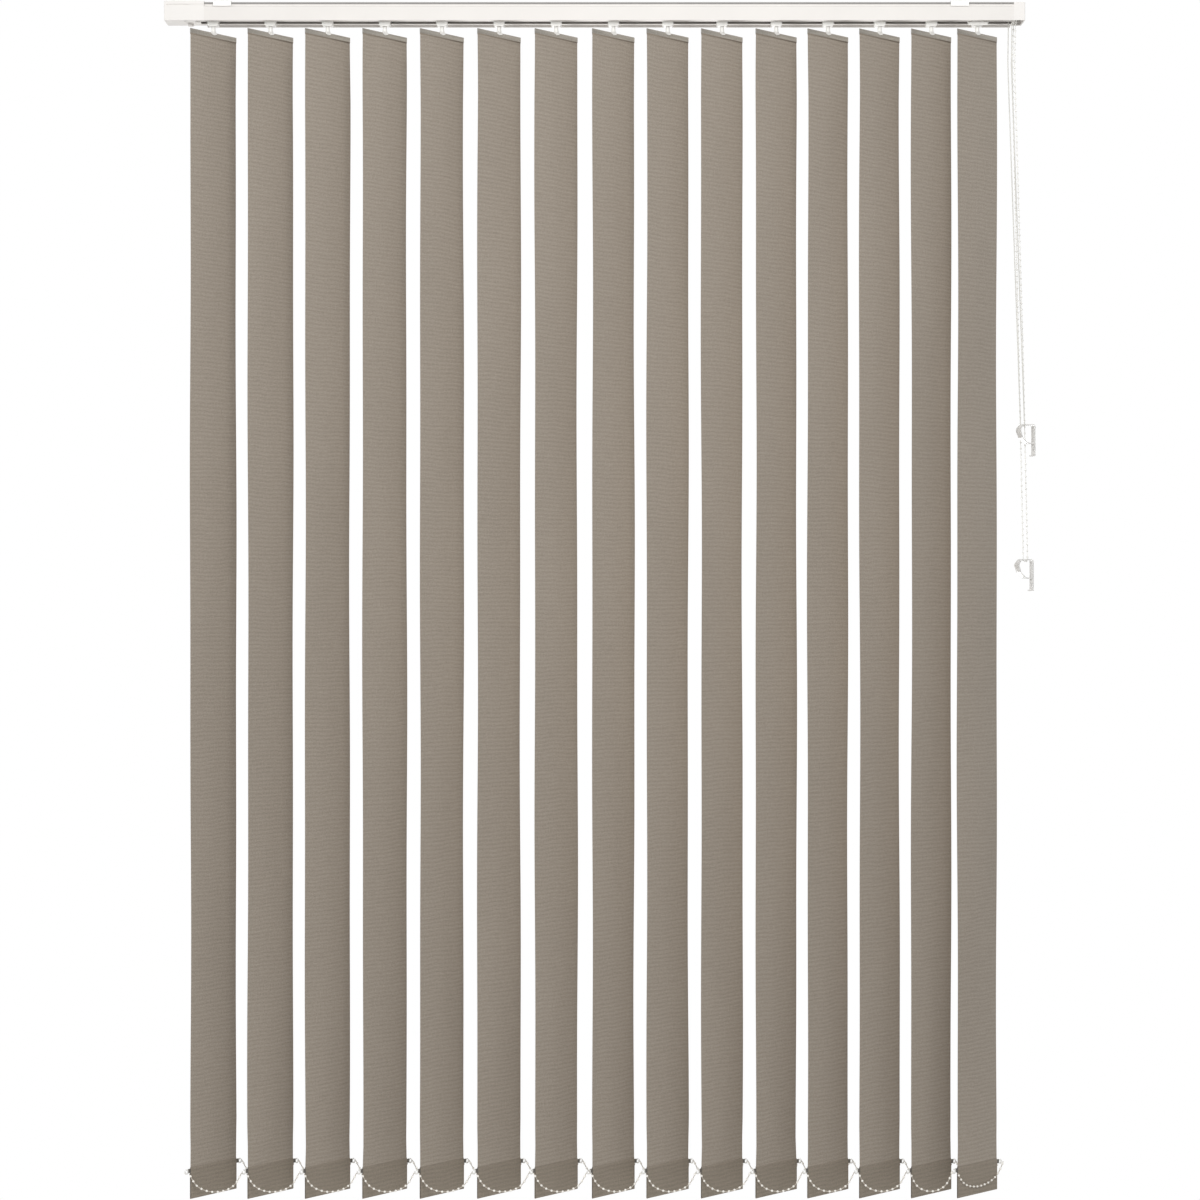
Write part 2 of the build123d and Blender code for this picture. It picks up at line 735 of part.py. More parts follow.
for y, z in ((cord_clip_y, cord_clip_z), (chain_clip_y, chain_clip_z)):
    clips.append(safety_clip.part.moved(Location((clip_wall_x, y, z), (0, 0, clip_turn))))
save(Compound(children=clips), "safety_clips")


def loop_points(clip_y, clip_z, hang, radius):
    """The two low corners of a loop round a clip's band, front first."""
    turn = math.radians(clip_turn)
    x, y = clip_wall_x - hang * math.cos(turn), clip_y - hang * math.sin(turn)
    out = band_width / 2 + radius + 0.4
    z = clip_z - band_thickness - radius - 0.4
    front = (x + out * math.sin(turn), y - out * math.cos(turn), z)
    back = (x - out * math.sin(turn), y + out * math.cos(turn), z)
    return front, back


# Traverse cord: tied to the first carrier, it runs to the control end, hangs as a loop held by
# its clip, and returns along the rail round the return pulley.
cord_front, cord_back = loop_points(cord_clip_y, cord_clip_z, cord_clip_hang, cord_radius)
cord_points = [
    (slat_x[0] + 1, cord_front_y, cord_z),
    (front_pulley_x + pulley_radius, cord_front_y, cord_z),
    cord_front,
    cord_back,
    (back_pulley_x + pulley_radius, cord_back_y, cord_z),
    (return_pulley_x - return_radius, cord_back_y, cord_z),
    (return_pulley_x - return_radius, cord_front_y, cord_z),
    (slat_x[0] - 1, cord_front_y, cord_z),
]
tight = return_radius - 0.02
bend = cord_radius + 0.4
cord_tube = tube(cord_points, [pulley_radius, bend, bend, pulley_radius, tight, tight], cord_radius)
save(cord_tube, "traverse_cord")

# Chain loop: it wraps over the sprocket and is held taut by the lower clip. A sleeve joins its ends.
chain_front, chain_back = loop_points(chain_clip_y, chain_clip_z, chain_clip_hang, chain_radius)
front_y, back_y = rod_y - sprocket_radius, rod_y + sprocket_radius
over_z = rod_z + sprocket_radius
side_z = rod_z - 2
top = (sprocket_x, front_y, side_z)
strand = Vector(*chain_front) - Vector(*top)
lower_end, upper_end = (Vector(*top) + strand * share for share in (0.6, 0.599))
chain_route = [
    tuple(lower_end),
    chain_front,
    chain_back,
    (sprocket_x, back_y, side_z),
    (sprocket_x, back_y, over_z),
    (sprocket_x, front_y, over_z),
    top,
    tuple(upper_end),
]
wrap = sprocket_radius - 0.02
bend = chain_radius + 0.4
chain_tube = tube(chain_route, [bend, bend, 30.0, wrap, wrap, 30.0], chain_radius)
with BuildPart() as chain_loop:
    add(chain_tube)
    with BuildSketch(Plane(origin=upper_end - strand * 0.003, z_dir=strand)):
        Circle(bead_radius)
    extrude(amount=strand.length * 0.007)
save(chain_loop.part, "chain_loop")

# Bottom chains: each span hangs from a slat's hook to the next slat's hook. A span's points are
# its share of the way and its share of the sag.
span_shape = [(0.0, 0.0), (0.07, 0.44), (0.2, 0.8), (0.4, 0.99), (0.6, 0.99), (0.8, 0.8), (0.93, 0.44), (1.0, 0.0)]


def under_lug(i, side):
    """The point below slat i's lug where a span begins or ends."""
    return on_slat(i, side * (half_slat + 3), hook_z - lug_height / 2 - 1.4)


def outside_hook(i, side):
    """The point beside slat i's open hook where the chain of the next slat is hung."""
    return on_slat(i, side * (hook_reach + hook_radius + link_radius + 0.4), hook_z - 2)


def on_slat(i, along, z):
    turn = math.radians(angle_of(i))
    return slat_x[i] + along * math.cos(turn), along * math.sin(turn), z


def chain_span(start, end, forward=0.0):
    """A hanging span between two points, moved forward of the straight line between them."""
    run = math.hypot(end[0] - start[0], end[1] - start[1])
    out_x = forward * (end[1] - start[1]) / run
    out_y = -forward * (end[0] - start[0]) / run
    points = []
    for share, low in span_shape:
        x, y, z = (a + share * (b - a) for a, b in zip(start, end))
        points.append((x + out_x, y + out_y, z - chain_sag * low))
    return tube(points, corner_radii(points), link_radius)


front_spans = []
back_spans = []
for i in range(slat_count - 1):
    front_spans.append(chain_span(under_lug(i, -1), outside_hook(i + 1, -1)))
    back_spans.append(chain_span(outside_hook(i, 1), under_lug(i + 1, 1)))
save(Compound(children=front_spans), "bottom_chain_front")
save(Compound(children=back_spans), "bottom_chain_back")
last = slat_count - 1
end_span = chain_span(under_lug(last, -1), outside_hook(last, 1), chain_end_offset)
save(end_span, "bottom_chain_end")
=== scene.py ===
import math

import bpy
from mathutils import Matrix, Vector


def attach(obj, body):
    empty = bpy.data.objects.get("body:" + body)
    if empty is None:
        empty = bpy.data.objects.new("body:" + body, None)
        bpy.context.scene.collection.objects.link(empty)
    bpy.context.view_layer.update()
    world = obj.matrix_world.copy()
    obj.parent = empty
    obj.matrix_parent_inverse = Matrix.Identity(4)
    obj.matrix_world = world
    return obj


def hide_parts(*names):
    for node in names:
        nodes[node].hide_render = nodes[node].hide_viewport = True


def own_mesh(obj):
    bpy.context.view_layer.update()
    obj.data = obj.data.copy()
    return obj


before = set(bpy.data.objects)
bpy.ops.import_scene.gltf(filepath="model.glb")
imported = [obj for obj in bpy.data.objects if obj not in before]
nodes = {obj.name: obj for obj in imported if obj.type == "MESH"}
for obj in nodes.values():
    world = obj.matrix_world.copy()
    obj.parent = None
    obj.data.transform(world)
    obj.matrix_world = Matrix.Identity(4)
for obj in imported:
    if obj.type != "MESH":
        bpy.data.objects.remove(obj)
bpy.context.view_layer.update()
bpy.ops.object.select_all(action="DESELECT")

# Studio: a pale floor just below the blind and a white surround that lights it less from the right.
# A large soft lamp hangs high in front, with weaker ones to the left and behind. The camera
# stands level with the middle of the blind.
camera_data = bpy.data.cameras.new("camera")
camera_data.sensor_width = 36.0
camera_data.lens = 78.95
camera_data.clip_end = 50.0
camera = bpy.data.objects.new("camera", camera_data)
camera.location = (0.0188, -5.527, -1.253)
camera.rotation_euler = (math.radians(90), 0, 0)
bpy.context.scene.collection.objects.link(camera)
bpy.context.scene.camera = camera
bpy.context.scene.view_settings.view_transform = "Standard"

bpy.ops.mesh.primitive_grid_add(
    x_subdivisions=8, y_subdivisions=4, size=1.0, location=(0, -0.55, -2.62)
)
floor = bpy.context.object
floor.name = "floor"
floor.scale = (3.6, 1.75, 1.0)
bpy.ops.object.transform_apply(location=True, rotation=True, scale=True)
floor_paint = bpy.data.materials.new("pale_floor")
floor_paint.use_nodes = True
floor_shader = floor_paint.node_tree.nodes["Principled BSDF"]
floor_shader.inputs["Base Color"].default_value = (0.86, 0.86, 0.85, 1)
floor_shader.inputs["Roughness"].default_value = 0.7
floor.data.materials.append(floor_paint)

surround_left = 0.57
surround_right = 0.33
world = bpy.data.worlds.new("studio")
bpy.context.scene.world = world
world.use_nodes = True
tree = world.node_tree
tree.nodes.clear()
rays = tree.nodes.new("ShaderNodeLightPath")
shiny = tree.nodes.new("ShaderNodeMath")
shiny.operation = "MAXIMUM"
seen = tree.nodes.new("ShaderNodeMath")
seen.operation = "MAXIMUM"
glow = tree.nodes.new("ShaderNodeBackground")
glow.inputs["Color"].default_value = (1.0, 1.0, 1.0, 1)
direction = tree.nodes.new("ShaderNodeTexCoord")
sides = tree.nodes.new("ShaderNodeSeparateXYZ")
fall = tree.nodes.new("ShaderNodeMapRange")
fall.inputs["From Min"].default_value = 0.0
fall.inputs["From Max"].default_value = 1.0
fall.inputs["To Min"].default_value = surround_left
fall.inputs["To Max"].default_value = surround_right
tree.links.new(direction.outputs["Generated"], sides.inputs[0])
tree.links.new(sides.outputs["X"], fall.inputs["Value"])
tree.links.new(fall.outputs["Result"], glow.inputs["Strength"])
white = tree.nodes.new("ShaderNodeBackground")
white.inputs["Color"].default_value = (1.0, 1.0, 1.0, 1)
white.inputs["Strength"].default_value = 1.0
choice = tree.nodes.new("ShaderNodeMixShader")
out = tree.nodes.new("ShaderNodeOutputWorld")
tree.links.new(rays.outputs["Is Glossy Ray"], shiny.inputs[0])
tree.links.new(rays.outputs["Is Transmission Ray"], shiny.inputs[1])
tree.links.new(shiny.outputs[0], seen.inputs[0])
tree.links.new(rays.outputs["Is Camera Ray"], seen.inputs[1])
tree.links.new(seen.outputs[0], choice.inputs[0])
tree.links.new(glow.outputs[0], choice.inputs[1])
tree.links.new(white.outputs[0], choice.inputs[2])
tree.links.new(choice.outputs[0], out.inputs["Surface"])

above_rail = 0.3
slat_middle = -0.9
for lamp_name, place, size, power in (
    ("front_lamp", (0.35, -3.4, 0.85), 3.0, 100.0),
    ("side_lamp", (-2.8, -2.6, 0.4), 1.8, 20.0),
    ("rear_lamp", (0.1, 1.7, -1.5), 1.6, 42.0),
):
    lamp = bpy.data.lights.new(lamp_name, "AREA")
    lamp.shape = "DISK"
    lamp.size = size
    lamp.energy = power
    holder = bpy.data.objects.new(lamp_name, lamp)
    holder.location = place
    aimed_at = above_rail if place[1] > 0 else slat_middle
    aim = Vector((0.0, 0.0, aimed_at)) - Vector(place)
    holder.rotation_euler = aim.to_track_quat("-Z", "Y").to_euler()
    holder.visible_camera = False
    bpy.context.scene.collection.objects.link(holder)

# Headrail: extruded aluminium with a white powder coat, cut to length. The coat has a fine
# orange-peel skin. Painted shade greys it in the groove along the top edge, and a painted highlight
# lightens the lip below it.


def coat(name, colour, roughness, grain, depth, tone=0.03, specular=0.5):
    """A coated or moulded surface with a faint change of tone and a skin of fine grain.

    The grain is a noise scale per metre, and the depth is the skin's height in metres.
    """
    made = bpy.data.materials.new(name)
    made.use_nodes = True
    t = made.node_tree
    shader = t.nodes["Principled BSDF"]
    shader.inputs["Roughness"].default_value = roughness
    shader.inputs["Specular IOR Level"].default_value = specular
    where = t.nodes.new("ShaderNodeTexCoord")
    cloud = t.nodes.new("ShaderNodeTexNoise")
    cloud.inputs["Scale"].default_value = 9.0
    cloud.inputs["Detail"].default_value = 4.0
    shades = t.nodes.new("ShaderNodeValToRGB")
    shades.color_ramp.elements[0].position = 0.3
    shades.color_ramp.elements[0].color = (*[c * (1 - tone) for c in colour], 1)
    shades.color_ramp.elements[1].position = 0.7
    shades.color_ramp.elements[1].color = (*[min(1.0, c * (1 + tone)) for c in colour], 1)
    skin = t.nodes.new("ShaderNodeTexNoise")
    skin.inputs["Scale"].default_value = grain
    skin.inputs["Detail"].default_value = 3.0
    bump = t.nodes.new("ShaderNodeBump")
    bump.inputs["Strength"].default_value = 0.35
    bump.inputs["Distance"].default_value = depth
    t.links.new(where.outputs["Object"], cloud.inputs["Vector"])
    t.links.new(where.outputs["Object"], skin.inputs["Vector"])
    t.links.new(cloud.outputs["Fac"], shades.inputs["Fac"])
    t.links.new(shades.outputs["Color"], shader.inputs["Base Color"])
    t.links.new(skin.outputs["Fac"], bump.inputs["Height"])
    t.links.new(bump.outputs["Normal"], shader.inputs["Normal"])
    return made


def seam_and_painted_light_band(material, middle, half, factor, at_left=1.0, at_right=1.0):
    """Multiplies a finish's colour in a band of height: painted shade, painted highlights and sheen
    in some bands, real seams in others.

    The last two values scale the factor from the piece's left end to its right.
    """
    t = material.node_tree
    shader = t.nodes["Principled BSDF"]
    plain = shader.inputs["Base Color"].links[0].from_socket
    where = t.nodes.new("ShaderNodeTexCoord")
    split = t.nodes.new("ShaderNodeSeparateXYZ")
    inside = t.nodes.new("ShaderNodeMath")
    inside.operation = "COMPARE"
    inside.inputs[1].default_value = middle
    inside.inputs[2].default_value = half
    tint = t.nodes.new("ShaderNodeMix")
    tint.data_type = "RGBA"
    tint.blend_type = "MULTIPLY"
    tint.inputs["B"].default_value = (*factor, 1)
    if at_left != at_right:
        sides = t.nodes.new("ShaderNodeSeparateXYZ")
        change = t.nodes.new("ShaderNodeMapRange")
        change.inputs["To Min"].default_value = at_left
        change.inputs["To Max"].default_value = at_right
        strength = t.nodes.new("ShaderNodeVectorMath")
        strength.operation = "SCALE"
        strength.inputs[0].default_value = factor
        t.links.new(where.outputs["Generated"], sides.inputs[0])
        t.links.new(sides.outputs["X"], change.inputs["Value"])
        t.links.new(change.outputs["Result"], strength.inputs["Scale"])
        t.links.new(strength.outputs["Vector"], tint.inputs["B"])
    t.links.new(where.outputs["Object"], split.inputs[0])
    t.links.new(split.outputs["Z"], inside.inputs[0])
    t.links.new(inside.outputs[0], tint.inputs["Factor"])
    t.links.new(plain, tint.inputs["A"])
    t.links.new(tint.outputs["Result"], shader.inputs["Base Color"])


def dress(node, *materials):
    """Gives a CAD node its finish."""
    slots = nodes[node].data.materials
    slots.clear()
    for m in materials:
        slots.append(m)


white_coat = coat("white_powder_coat", (0.72, 0.694, 0.664), 0.6, 900.0, 0.0002, 0.02, 0.3)
groove_painted_shade_z, groove_painted_shade_half = -0.0036, 0.0038
lip_painted_highlight_z, lip_painted_highlight_half = -0.0090, 0.0016
# painted shade in the groove band and a painted highlight on the lip band, both multiplied into the
# coat's colour
seam_and_painted_light_band(white_coat, groove_painted_shade_z, groove_painted_shade_half, (0.50, 0.50, 0.50))
seam_and_painted_light_band(white_coat, lip_painted_highlight_z, lip_painted_highlight_half, (1.04, 1.04, 1.04))
dress("headrail", white_coat)

# End units: the return unit closes the rail's left end, and the control unit its right end. Both
# are moulded plastic in the same white as the rail, a little smoother.
unit_plastic = coat("white_moulded_plastic", (0.75, 0.727, 0.700), 0.5, 500.0, 0.0001, 0.02, 0.3)
for name in ("return_cap", "control_cap"):
    dress(name, unit_plastic)

# Ceiling brackets: pressed steel, zinc plated and sprayed white. Their plates are screwed to the
# ceiling, and their hooked arms hold the rail by its grooves.
bracket_paint = coat("sprayed_steel", (0.84, 0.83, 0.80), 0.45, 700.0, 0.0002)
dress("ceiling_brackets", bracket_paint)

# Tilt rod: drawn aluminium with fine lines along its length. It runs through the rail from one end
# unit to the other and turns the wheels of the carriers.
rod_metal = bpy.data.materials.new("drawn_aluminium")
rod_metal.use_nodes = True
tree = rod_metal.node_tree
shader = tree.nodes["Principled BSDF"]
shader.inputs["Base Color"].default_value = (0.78, 0.78, 0.79, 1)
shader.inputs["Metallic"].default_value = 1.0
where = tree.nodes.new("ShaderNodeTexCoord")
stretch = tree.nodes.new("ShaderNodeMapping")
stretch.inputs["Scale"].default_value = (4.0, 3000.0, 3000.0)
lines = tree.nodes.new("ShaderNodeTexNoise")
lines.inputs["Scale"].default_value = 1.0
rough = tree.nodes.new("ShaderNodeMapRange")
rough.inputs["To Min"].default_value = 0.25
rough.inputs["To Max"].default_value = 0.45
tree.links.new(where.outputs["Object"], stretch.inputs["Vector"])
tree.links.new(stretch.outputs["Vector"], lines.inputs["Vector"])
tree.links.new(lines.outputs["Fac"], rough.inputs["Value"])
tree.links.new(rough.outputs["Result"], shader.inputs["Roughness"])
dress("tilt_rod", rod_metal)

# Sprocket and cord pulleys: moulded acetal, smooth and white. The sprocket sits on the rod's right
# end, and the pulleys turn on pins in the end units.
wheel_plastic = coat("acetal", (0.84, 0.83, 0.80), 0.35, 600.0, 0.00005)
for name in ("chain_sprocket", "return_pulley", "cord_pulley_front", "cord_pulley_back"):
    dress(name, wheel_plastic)

# Carriers: moulded acetal housings that hang on the rail's ledges. All but the first hold a spacer
# strip, which slides through the carriers to its left. The last is fixed and has the stop plate.
carrier_plastic = coat("carrier_plastic", (0.82, 0.81, 0.78), 0.4, 600.0, 0.0001)
count = 15
for i in range(count):
    dress(f"carrier_{i + 1:02d}", carrier_plastic)

# Slat fittings: a clear white stem and clip at the top, a grey plastic hanger in the pocket, and at
# the bottom a weight with clear hooks, its ends coloured dark. Each has its own finish, laid out
# along its slat.
pitches = [0.120] * 7 + [0.114] * 3 + [0.1085] * 3 + [0.0965]
last_x = 0.811
slat_x = [last_x - sum(pitches[i:]) for i in range(count)]
middle_turn = 46
fan = 4
slat_turn = [
    math.radians(middle_turn + fan * (1 - 2 * i / (count - 1))) for i in range(count)
]


def fitting_finish(i):
    """Clear plastic, with the hanger grey and the ends of the weight dark, by place on the slat."""
    made = coat(f"fitting_plastic_{i + 1:02d}", (0.83, 0.82, 0.79), 0.38, 600.0, 0.0001)
    t = made.node_tree
    shader = t.nodes["Principled BSDF"]
    where = t.nodes.new("ShaderNodeTexCoord")
    along = t.nodes.new("ShaderNodeMapping")
    along.vector_type = "TEXTURE"
    along.inputs["Location"].default_value = (slat_x[i], 0, 0)
    along.inputs["Rotation"].default_value = (0, 0, slat_turn[i])
    split = t.nodes.new("ShaderNodeSeparateXYZ")
    t.links.new(where.outputs["Object"], along.inputs["Vector"])
    t.links.new(along.outputs["Vector"], split.inputs[0])
    for middle, half, reach, inner, colour in (
        (-0.0690, 0.0058, 0.0360, 0.0275, (0.40, 0.39, 0.37)),
        (-2.4600, 0.0450, 0.0350, 0.0350, (0.13, 0.12, 0.105)),
    ):
        height = t.nodes.new("ShaderNodeMath")
        height.operation = "COMPARE"
        height.inputs[1].default_value = middle
        height.inputs[2].default_value = half
        away = t.nodes.new("ShaderNodeMath")
        away.operation = "ABSOLUTE"
        within = t.nodes.new("ShaderNodeMath")
        within.operation = "COMPARE"
        within.inputs[1].default_value = reach
        within.inputs[2].default_value = inner
        both = t.nodes.new("ShaderNodeMath")
        both.operation = "MULTIPLY"
        tint = t.nodes.new("ShaderNodeMix")
        tint.data_type = "RGBA"
        tint.inputs["B"].default_value = (*colour, 1)
        plain = shader.inputs["Base Color"].links[0].from_socket
        t.links.new(split.outputs["Z"], height.inputs[0])
        t.links.new(split.outputs["X"], away.inputs[0])
        t.links.new(away.outputs[0], within.inputs[0])
        t.links.new(height.outputs[0], both.inputs[0])
        t.links.new(within.outputs[0], both.inputs[1])
        t.links.new(both.outputs[0], tint.inputs["Factor"])
        t.links.new(plain, tint.inputs["A"])
        t.links.new(tint.outputs["Result"], shader.inputs["Base Color"])
    return made


for i in range(count):
    dress(f"slat_fittings_{i + 1:02d}", fitting_finish(i))

# Slats: woven polyester, cut to 127 mm, with the ends folded over and welded into pockets. The
# cloth has a fine slub weave. Its edges are cut, and it draws in a little above the weight.
cloth_width = 0.127
cloth_thickness = 0.00045

cloth = bpy.data.materials.new("slub_cloth")
cloth.use_nodes = True
tree = cloth.node_tree
shader = tree.nodes["Principled BSDF"]
shader.inputs["Roughness"].default_value = 0.88
shader.inputs["Sheen Weight"].default_value = 0.12
shader.inputs["Sheen Roughness"].default_value = 0.5
shader.inputs["Specular IOR Level"].default_value = 0.2
where = tree.nodes.new("ShaderNodeTexCoord")


def woven(scale, detail):
    """Noise on the cloth's own map, in metres, drawn out along a thread."""
    stretched = tree.nodes.new("ShaderNodeMapping")
    stretched.inputs["Scale"].default_value = scale
    noise = tree.nodes.new("ShaderNodeTexNoise")
    noise.inputs["Scale"].default_value = 1.0
    noise.inputs["Detail"].default_value = detail
    tree.links.new(where.outputs["UV"], stretched.inputs["Vector"])
    tree.links.new(stretched.outputs["Vector"], noise.inputs["Vector"])
    return noise.outputs["Fac"]


def combine(operation, a, b):
    """A sum, product or other operation on two values, each a number or a node's output."""
    node = tree.nodes.new("ShaderNodeMath")
    node.operation = operation
    for socket, value in zip(node.inputs, (a, b)):
        if isinstance(value, float):
            socket.default_value = value
        else:
            tree.links.new(value, socket)
    return node.outputs[0]


weft = woven((35.0, 1300.0, 1.0), 2.0)
warp = woven((1100.0, 40.0, 1.0), 2.0)
grain = woven((260.0, 420.0, 1.0), 2.0)
slub = woven((12.0, 240.0, 1.0), 2.0)
tone = woven((7.0, 2.2, 1.0), 3.0)
drift = woven((16.0, 5.0, 1.0), 1.0)
height = tree.nodes.new("ShaderNodeSeparateXYZ")
tree.links.new(where.outputs["UV"], height.inputs[0])
rib_pitch = 0.0086
level = combine("MULTIPLY", height.outputs["Y"], 2 * math.pi / rib_pitch)
phase = combine("ADD", level, combine("MULTIPLY", drift, 7.0))
rib = combine("SINE", phase, 0.0)
weave = combine("ADD", combine("MULTIPLY", weft, 0.25), combine("MULTIPLY", warp, 0.2))
weave = combine("ADD", weave, combine("MULTIPLY", grain, 0.5))
weave = combine("ADD", weave, combine("MULTIPLY", slub, 0.1))
weave = combine("ADD", weave, combine("MULTIPLY", tone, 0.1))
weave = combine("ADD", weave, combine("MULTIPLY", rib, 0.045))
shades = tree.nodes.new("ShaderNodeValToRGB")
shades.color_ramp.elements[0].position = 0.435
shades.color_ramp.elements[0].color = (0.279, 0.242, 0.200, 1)
shades.color_ramp.elements[1].position = 0.715
shades.color_ramp.elements[1].color = (0.400, 0.350, 0.295, 1)
tree.links.new(weave, shades.inputs["Fac"])
tree.links.new(shades.outputs["Color"], shader.inputs["Base Color"])
bump = tree.nodes.new("ShaderNodeBump")
bump.inputs["Strength"].default_value = 0.6
bump.inputs["Distance"].default_value = 0.0004
tree.links.new(weave, bump.inputs["Height"])
tree.links.new(bump.outputs["Normal"], shader.inputs["Normal"])
# Top pocket: the pale hanger showing through the cloth towards the right end, with a painted sheen
# from the hanger under it; darker at the pocket's left end.
seam_and_painted_light_band(cloth, -0.0668, 0.0050, (1.12, 1.19, 1.25), 0.72, 1.22)
seam_and_painted_light_band(cloth, -0.0733, 0.0014, (0.66, 0.64, 0.61), 1.25, 0.8)
# The bottom pocket is coloured darker.
seam_and_painted_light_band(cloth, -2.4680, 0.0340, (0.80, 0.79, 0.76))
seam_and_painted_light_band(cloth, -2.4340, 0.0006, (0.92, 0.91, 0.90))

# the cloth's path, as height below the ceiling and distance off the slat's middle plane
top_fold = [
    (0.0749, 0.00042), (0.0725, 0.00085), (0.0700, 0.00098), (0.0660, 0.00098),
    (0.0630, 0.00098), (0.06238, 0.00078), (0.06222, 0.0), (0.06238, -0.00078),
    (0.0630, -0.00098), (0.0660, -0.00098), (0.0700, -0.00098), (0.0725, -0.00070),
    (0.0745, -0.00006), (0.0765, 0.0),
]
bottom_fold = [
    (2.4320, 0.0), (2.4340, -0.00012), (2.4352, -0.0007), (2.4366, -0.00130),
    (2.4400, -0.00138), (2.4550, -0.00138), (2.4700, -0.00138), (2.4850, -0.00138),
    (2.4975, -0.00138), (2.4993, -0.00120), (2.49977, 0.0), (2.4993, 0.00120),
    (2.4975, 0.00138), (2.4850, 0.00138), (2.4700, 0.00138), (2.4550, 0.00138),
    (2.4400, 0.00138), (2.4366, 0.00130), (2.4352, 0.00085), (2.4336, 0.00045),
]
rows = 56
run_top = top_fold[-1][0]
run_bottom = bottom_fold[0][0]
run = [(run_top + (run_bottom - run_top) * (k + 1) / (rows + 1), 0.0) for k in range(rows)]
ply = top_fold + run + bottom_fold
across = 10
cut_inset = 0.0002
cup = 0.0020
waist_share, waist_low, waist_reach = 0.014, 2.402, 0.022

for i in range(count):
    verts = []
    uvs = []
    along = 0.0
    for k, (low, off) in enumerate(ply):
        if k:
            along += math.dist(ply[k - 1], ply[k])
        below_top = min(1.0, max(0.0, (low - 0.075) / 0.12))
        above_weld = min(1.0, max(0.0, (2.434 - low) / 0.06))
        free = below_top * above_weld
        draw_in = 1 - waist_share * math.exp(-(((low - waist_low) / waist_reach) ** 2))
        for c in range(across + 1):
            s = (c / across - 0.5) * (cloth_width - cut_inset) * draw_in
            side = 2 * s / cloth_width
            twist = 0.0011 * math.sin(low * 4.1 + i * 1.7) * side
            wave = 0.0007 * math.sin(low * 9.3 + i * 0.9 + side)
            curl = 0.0006 * side * side * math.sin(low * 2.3 + i * 2.1) - cup * (1 - side * side)
            n = off + free * ((twist + wave) + curl)
            x = slat_x[i] + s * math.cos(slat_turn[i]) - n * math.sin(slat_turn[i])
            y = s * math.sin(slat_turn[i]) + n * math.cos(slat_turn[i])
            verts.append((x, y, -low))
            uvs.append((s + 0.4 * i, along + 0.13 * i))
    faces = []
    for k in range(len(ply) - 1):
        for c in range(across):
            a = k * (across + 1) + c
            faces.append((a, a + across + 1, a + across + 2, a + 1))
    mesh = bpy.data.meshes.new(f"slat_cloth_{i + 1:02d}")
    mesh.from_pydata(verts, [], faces)
    layer = mesh.uv_layers.new(name="cloth")
    for loop in mesh.loops:
        layer.data[loop.index].uv = uvs[loop.vertex_index]
    slat = bpy.data.objects.new(mesh.name, mesh)
    bpy.context.scene.collection.objects.link(slat)
    slat.data.materials.append(cloth)
    thick = slat.modifiers.new("ply", "SOLIDIFY")
    thick.thickness = cloth_thickness
    thick.offset = 0.0
    bpy.context.view_layer.objects.active = slat
    slat.select_set(True)
    bpy.ops.object.modifier_apply(modifier="ply")
    bpy.ops.object.shade_smooth_by_angle(angle=math.radians(40))
    slat.select_set(False)
    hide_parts(f"slat_{i + 1:02d}")
    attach(slat, f"vane_{i + 1:02d}")

# Bottom chains: cream plastic beads moulded on a thin cord. A span hangs in front and one behind
# between each two slats, from a lug to the next slat's open hook.
bead_plastic = coat("cream_beads", (0.93, 0.90, 0.84), 0.35, 400.0, 0.00005)
link_cord = coat("cream_cord", (0.50, 0.45, 0.385), 0.6, 2500.0, 0.0001)
bpy.ops.mesh.primitive_uv_sphere_add(segments=8, ring_count=6, radius=1.0)
bead = bpy.context.object
bpy.ops.object.mode_set(mode="EDIT")
bpy.ops.mesh.select_all(action="SELECT")
bpy.ops.transform.resize(value=(0.92, 0.92, 1.0))
bpy.ops.object.mode_set(mode="OBJECT")
bead_verts = [v.co.copy() for v in bead.data.vertices]
bead_faces = [tuple(p.vertices) for p in bead.data.polygons]
bpy.data.objects.remove(bead)


def spline_points(route):
    """Points along the smooth line that a cord's route gives."""
    data = bpy.data.curves.new("route", "CURVE")
    data.dimensions = "3D"
    data.resolution_u = 16
    spline = data.splines.new("NURBS")
    spline.points.add(len(route) - 1)
    for point, place in zip(spline.points, route):
        point.co = (*place, 1.0)
    spline.order_u = 3
    spline.use_endpoint_u = True
    holder = bpy.data.objects.new("route", data)
    bpy.context.scene.collection.objects.link(holder)
    bpy.context.view_layer.update()
    mesh = bpy.data.meshes.new_from_object(holder)
    points = [v.co.copy() for v in mesh.vertices]
    bpy.data.objects.remove(holder)
    bpy.data.meshes.remove(mesh)
    return points


def evenly(points, step, start):
    """Places and directions at even steps along a line."""
    found = []
    gone = 0.0
    wanted = start
    for a, b in zip(points, points[1:]):
        length = (b - a).length
        while length > 0 and wanted <= gone + length:
            found.append((a.lerp(b, (wanted - gone) / length), (b - a).normalized()))
            wanted += step
        gone += length
    return found


